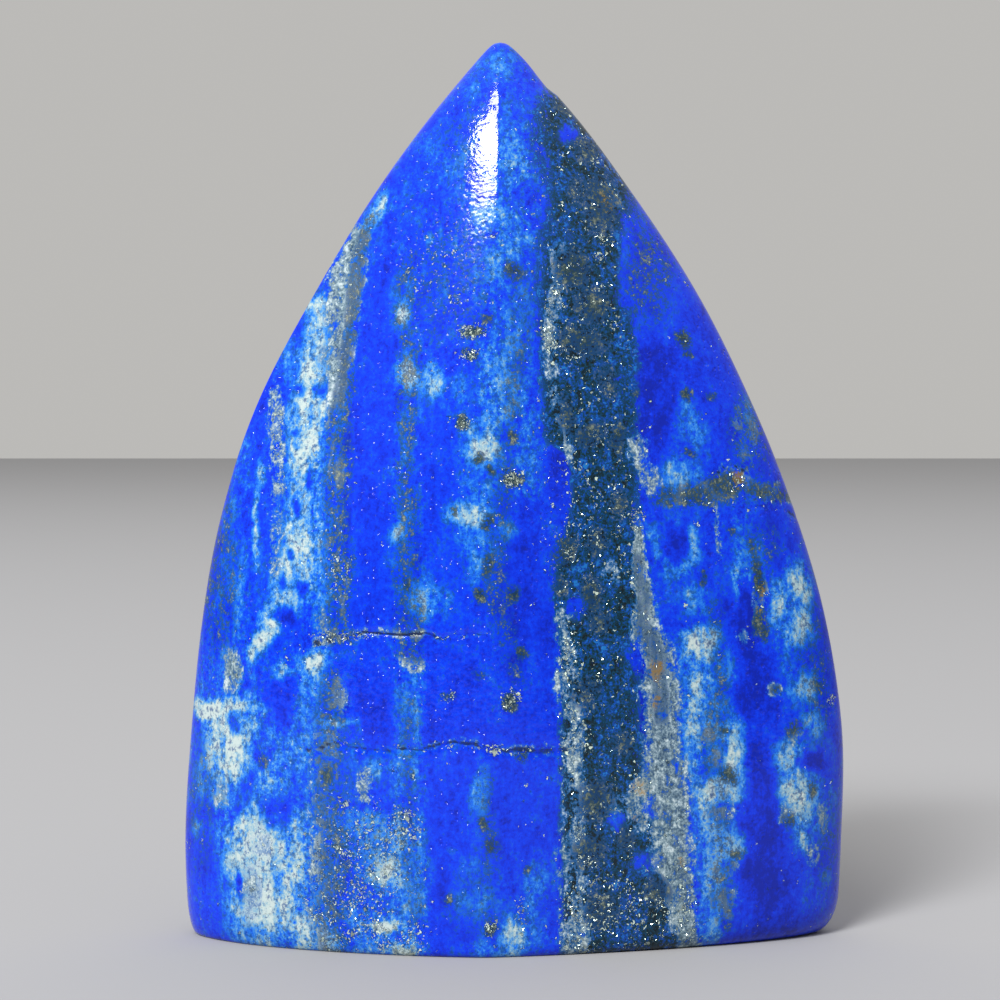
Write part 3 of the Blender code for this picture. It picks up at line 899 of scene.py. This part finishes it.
# Deep blue keeps STEADY of the swing, and the tones above these limits have LIVELIER on top of it.
# The pale parts beyond these limits keep only CALM of the fine swing.
LIVELY_FROM_TONE = (0.20, 0.40)
STEADY = 0.85
LIVELIER = 0.65
CALM_FROM_PALE = (0.05, 0.45)
CALM = 0.5

# Where a marking begins and is full, once frayed, and how much of the stone's colour it hides then.
SPECK_FROM_DOTS = (0.50, 0.62)
SPECK_FROM_TONE = (0.20, 0.40)
SPECK_COVER = 0.75
DARK_EDGE = (0.22, 0.52, 1.0)
DARK_BODY = (0.36, 0.64, 1.0)
GREY_EDGE = (0.12, 0.45, 0.7)
GREY_BODY = (0.30, 0.72, 0.92)
OLIVE_EDGE = (0.12, 0.46, 0.8)
OLIVE_BODY = (0.36, 0.86, 0.95)
RUST_BODY = (0.35, 0.95, 0.8)
CRACK_BODY = (0.15, 0.60, 0.9)

# Layers of pyrite grains: cells per millimetre, radius, and how many of the cells have one. A grain
# has the first share of the radius and up to the second on top, and most are small. Bunches get more
# grains, and the places between them keep a share.
GRAIN_LAYERS = ((1.9, 0.30, 0.45), (3.1, 0.34, 0.70), (5.0, 0.40, 0.90))
GRAIN_RADII = (0.4, 0.8)
MOSTLY_SMALL = 2.0
BUNCH_FROM = (0.38, 0.62)
BUNCH_GAIN = 1.9
LOOSE_SHARE = 0.45

# The noise that turns round grains to flakes: its scale, its detail and how far it moves them. Then
# the dark rim around each grain, and how far a grain's face is turned from the stone's.
FLAKE_SCALE = 4.0
FLAKE_DETAIL = 2.0
FLAKE_MOVE = 0.7
RIM_REACH = 1.9
RIM_COVER = 0.6
GRAIN_TURN = 1.5
GRAIN_METAL = 0.55

# The polish: its gloss, how much rougher the dark and grey parts are, and small pits in it.
SPECULAR_LEVEL = 0.34
POLISH = 0.09
DARK_ROUGHER = 0.12
GREY_ROUGHER = 0.18
MOTTLE_ROUGHER = 0.10
PITS_PER_MILLIMETRE = 2.2
PIT_SHARE = 0.20
PIT_SHARE_IN_MARKINGS = 0.15
PIT_RADIUS = (0.40, 0.14)
BUMP_SWING = (("peel", 0.7), ("grain", 0.12))
PIT_BUMP = -2.0
BUMP_HEIGHT = 0.00005
BUMP_STRENGTH = 0.5


class Lapis(Graph):
    """The stone's material. Its noises are made once, and each marking is laid over the last."""

    def __init__(self):
        super().__init__(bpy.data.materials.new(SLOT))
        from_object = self.node("ShaderNodeTexCoord").outputs["Object"]
        self.place = self.vector("MULTIPLY", from_object, (1 / MILLIMETRE,) * 3)
        self.noises = {}
        for name, (stretch, *settings) in NOISES.items():
            stretched = self.vector("MULTIPLY", self.place, (1.0, 1.0, stretch))
            self.noises[name] = self.noise(stretched, *settings)
        self.colour = None

    def swing(self, start, amounts):
        """Start plus each named noise's swing about one half, times its amount."""
        for name, amount in amounts:
            around_zero = self.math("SUBTRACT", self.noises[name], 0.5)
            start = self.math("MULTIPLY_ADD", around_zero, amount, start)
        return start

    def frayed(self, name, amounts):
        """A marking's strength with a wandering edge. Far from the marking nothing wanders."""
        strength = self.attribute(name)
        near = self.step(strength, 0.0, FRAY_FROM)
        wander = self.math("MULTIPLY", self.swing(0.0, amounts), near)
        return self.math("MULTIPLY_ADD", wander, FRAY[name], strength)

    def lay(self, amount, limits, over):
        """Lays a colour over the stone where amount is within limits, and returns its share."""
        begins, full, cover = limits
        share = self.math("MULTIPLY", self.step(amount, begins, full), cover)
        self.colour = self.mix(share, self.colour, over)
        return share

    def lay_blue(self):
        """The blue itself, from deep to pale, with dark specks in its lighter parts."""
        pale = self.math("MAXIMUM", self.frayed("pale", SOFT_EDGE_SWING), 0.0)
        painted = self.attribute("tone")
        lively = self.math("MULTIPLY_ADD", self.step(painted, *LIVELY_FROM_TONE), LIVELIER, STEADY)
        calm = self.math("MULTIPLY_ADD", self.step(pale, *CALM_FROM_PALE), CALM - 1, 1.0)
        fine = self.math("MULTIPLY", self.swing(0.0, FINE_SWING), calm)
        swing = self.math("MULTIPLY", self.swing(fine, TONE_SWING), lively)
        tone = self.math("ADD", self.math("ADD", painted, swing), pale)
        self.colour = self.ramp(tone, TONE_COLOURS)
        dots = self.step(self.noises["dots"], *SPECK_FROM_DOTS)
        dotted = self.math("MULTIPLY", dots, self.step(tone, *SPECK_FROM_TONE))
        self.colour = self.mix(self.math("MULTIPLY", dotted, SPECK_COVER), self.colour, SPECK)

    def lay_markings(self):
        """The dark band, grey, olive, rust and cracks. Returns the shares of dark and of grey."""
        patchy = self.swing(PATCHY_MIDDLE, PATCHY_SWING)
        fibrous = self.swing(FIBRE_MIDDLE, FIBRE_SWING)
        dark = self.frayed("dark", EDGE_SWING)
        self.lay(dark, DARK_EDGE, DARK_TEAL)
        dark_share = self.lay(dark, DARK_BODY, self.ramp(patchy, DARK_COLOURS))
        grey = self.frayed("grey", EDGE_SWING)
        self.lay(grey, GREY_EDGE, TEAL)
        grey_share = self.lay(grey, GREY_BODY, self.ramp(fibrous, GREY_COLOURS))
        olive = self.frayed("olive", SMALL_EDGE_SWING)
        self.lay(olive, OLIVE_EDGE, DARK_TEAL)
        self.lay(olive, OLIVE_BODY, self.ramp(patchy, OLIVE_COLOURS))
        self.lay(self.frayed("rust", SMALL_EDGE_SWING), RUST_BODY, RUST)
        self.lay(self.frayed("crack", EDGE_SWING), CRACK_BODY, CRACK_COLOUR)
        return dark_share, grey_share

    def fleck_density(self):
        """How many cells have a grain of pyrite: the painted share, gathered into bunches."""
        painted = self.attribute("fleck")
        gathered = self.math("MULTIPLY", self.step(self.noises["bunches"], *BUNCH_FROM), BUNCH_GAIN)
        bunched = self.math("MULTIPLY", painted, gathered)
        return self.math("MAXIMUM", bunched, self.math("MULTIPLY", painted, LOOSE_SHARE))

    def grain_layer(self, place, density, scale, size, share):
        """One layer of pyrite grains: where they are, where their rims are, and how each is turned."""
        cells = self.cells(place, scale)
        parts = self.node("ShaderNodeSeparateColor", Color=cells.outputs["Color"])
        chosen = self.math("LESS_THAN", parts.outputs[0], self.math("MULTIPLY", density, share))
        least, more = GRAIN_RADII
        varied = self.math("POWER", parts.outputs[1], MOSTLY_SMALL)
        radius = self.math("MULTIPLY_ADD", varied, size * more, size * least)
        distance = cells.outputs["Distance"]
        grain = self.math("MULTIPLY", chosen, self.math("LESS_THAN", distance, radius))
        rim_radius = self.math("MULTIPLY", radius, RIM_REACH)
        rim = self.math("MULTIPLY", chosen, self.math("LESS_THAN", distance, rim_radius))
        turned = self.node("ShaderNodeVectorMath", {"operation": "SCALE"})
        self.feed(turned.inputs[0], self.vector("SUBTRACT", cells.outputs["Color"], (0.5,) * 3))
        self.feed(turned.inputs["Scale"], self.math("MULTIPLY", grain, GRAIN_TURN))
        return grain, rim, turned.outputs[0]

    def lay_flecks(self):
        """Pyrite grains in dark rims. Returns where the grains are and how their faces turn."""
        nudge = self.node("ShaderNodeTexNoise", Vector=self.place, Scale=FLAKE_SCALE, Detail=FLAKE_DETAIL)
        moved = self.vector("MULTIPLY", nudge.outputs["Color"], (FLAKE_MOVE,) * 3)
        place = self.vector("ADD", self.place, moved)
        density = self.fleck_density()
        flecks, rims, turns = 0.0, 0.0, (0.0, 0.0, 0.0)
        for layer in GRAIN_LAYERS:
            grain, rim, turned = self.grain_layer(place, density, *layer)
            flecks = self.math("MAXIMUM", flecks, grain)
            rims = self.math("MAXIMUM", rims, rim)
            turns = self.vector("ADD", turns, turned)
        self.colour = self.mix(self.math("MULTIPLY", rims, RIM_COVER), self.colour, PYRITE_RIM)
        self.colour = self.mix(flecks, self.colour, PYRITE)
        return flecks, turns

    def surface(self, dark_share, grey_share, turns):
        """The polish's roughness, and its normal with fine grain, pits and the grains' faces."""
        roughness = self.math("MULTIPLY_ADD", dark_share, DARK_ROUGHER, POLISH)
        roughness = self.math("MULTIPLY_ADD", grey_share, GREY_ROUGHER, roughness)
        roughness = self.swing(roughness, (("mottle", MOTTLE_ROUGHER),))
        pits = self.cells(self.place, PITS_PER_MILLIMETRE)
        parts = self.node("ShaderNodeSeparateColor", Color=pits.outputs["Color"])
        marked = self.math("ADD", dark_share, grey_share)
        chance = self.math("MULTIPLY_ADD", marked, PIT_SHARE_IN_MARKINGS, PIT_SHARE)
        chosen = self.math("LESS_THAN", parts.outputs[0], chance)
        pit = self.math("MULTIPLY", chosen, self.step(pits.outputs["Distance"], *PIT_RADIUS))
        height = self.math("MULTIPLY_ADD", pit, PIT_BUMP, self.swing(0.0, BUMP_SWING))
        bump = self.node("ShaderNodeBump", Strength=BUMP_STRENGTH, Distance=BUMP_HEIGHT, Height=height)
        normal = self.node("ShaderNodeVectorMath", {"operation": "NORMALIZE"})
        self.feed(normal.inputs[0], self.vector("ADD", bump.outputs["Normal"], turns))
        return roughness, normal.outputs[0]


def lapis_material():
    lapis = Lapis()
    lapis.lay_blue()
    dark_share, grey_share = lapis.lay_markings()
    flecks, turns = lapis.lay_flecks()
    roughness, normal = lapis.surface(dark_share, grey_share, turns)
    inputs = lapis.shader.inputs
    lapis.feed(inputs["Specular IOR Level"], SPECULAR_LEVEL)
    lapis.feed(inputs["Base Color"], lapis.colour)
    lapis.feed(inputs["Metallic"], lapis.math("MULTIPLY", flecks, GRAIN_METAL))
    lapis.feed(inputs["Roughness"], roughness)
    lapis.feed(inputs["Normal"], normal)
    return lapis.owner


def matt_material(name, colour):
    graph = Graph(bpy.data.materials.new(name))
    graph.feed(graph.shader.inputs["Base Color"], (*colour, 1.0))
    graph.feed(graph.shader.inputs["Roughness"], 1.0)
    graph.feed(graph.shader.inputs["Specular IOR Level"], 0.0)
    return graph.owner


def add_floor():
    mesh = bpy.data.meshes.new("floor")
    far = FLOOR_REACH
    corners = [(-far, -far, 0), (far, -far, 0), (far, far, 0), (-far, far, 0)]
    mesh.from_pydata(corners, [], [(0, 1, 2, 3)])
    floor = bpy.data.objects.new("floor", mesh)
    floor.data.materials.append(matt_material("pale_floor", FLOOR_COLOUR))
    bpy.context.scene.collection.objects.link(floor)


def add_key(name, azimuth, elevation, size, lean, power):
    """One of the softboxes that put the drop-shaped highlight beside the ridge."""
    back = Vector(toward(azimuth, elevation))
    light = bpy.data.lights.new(name, "AREA")
    light.shape = "ELLIPSE"
    light.size, light.size_y = size
    light.energy = power
    placed = bpy.data.objects.new(name, light)
    placed.location = Vector(KEY_AIM) + back * KEY_AWAY
    leaning = Quaternion((0, 0, 1), math.radians(lean))
    placed.rotation_euler = (back.to_track_quat("Z", "Y") @ leaning).to_euler()
    bpy.context.scene.collection.objects.link(placed)


def add_world():
    sky = Graph(bpy.data.worlds.new("studio"), "Background")
    place = sky.node("ShaderNodeTexCoord").outputs["Generated"]
    direction = sky.node("ShaderNodeSeparateXYZ", Vector=place).outputs
    path = sky.node("ShaderNodeLightPath").outputs
    mirrored = sky.between(path["Is Glossy Ray"], 1.0, WALL_IN_REFLECTIONS)
    wall_light = sky.math("MULTIPLY", sky.between(direction["Y"], 0.0, WALL_BEHIND), mirrored)
    light = sky.math("ADD", sky.between(direction["Z"], *DOME_RANGE), wall_light)
    seen = sky.node("ShaderNodeMix", Factor=path["Is Camera Ray"], A=light, B=BACKDROP)
    sky.feed(sky.shader.inputs["Strength"], seen.outputs["Result"])
    sky.feed(sky.shader.inputs["Color"], SKY_COLOUR)
    bpy.context.scene.world = sky.owner


def add_camera():
    camera = bpy.data.cameras.new("camera")
    camera.lens = CAMERA_LENS
    camera.sensor_width = CAMERA_SENSOR
    placed = bpy.data.objects.new("camera", camera)
    placed.location = Vector(CAMERA_AT) * MILLIMETRE
    placed.rotation_euler = (math.radians(90 - CAMERA_TILT_DOWN), 0, 0)
    bpy.context.scene.collection.objects.link(placed)
    bpy.context.scene.camera = placed


add_camera()
stone = stone_object()
stone.data.materials.append(lapis_material())
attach(stone, "root")
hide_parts(STONE)
add_floor()
add_world()
for name, settings in KEYS.items():
    add_key(name, *settings)
bpy.context.scene.view_settings.view_transform = "Standard"
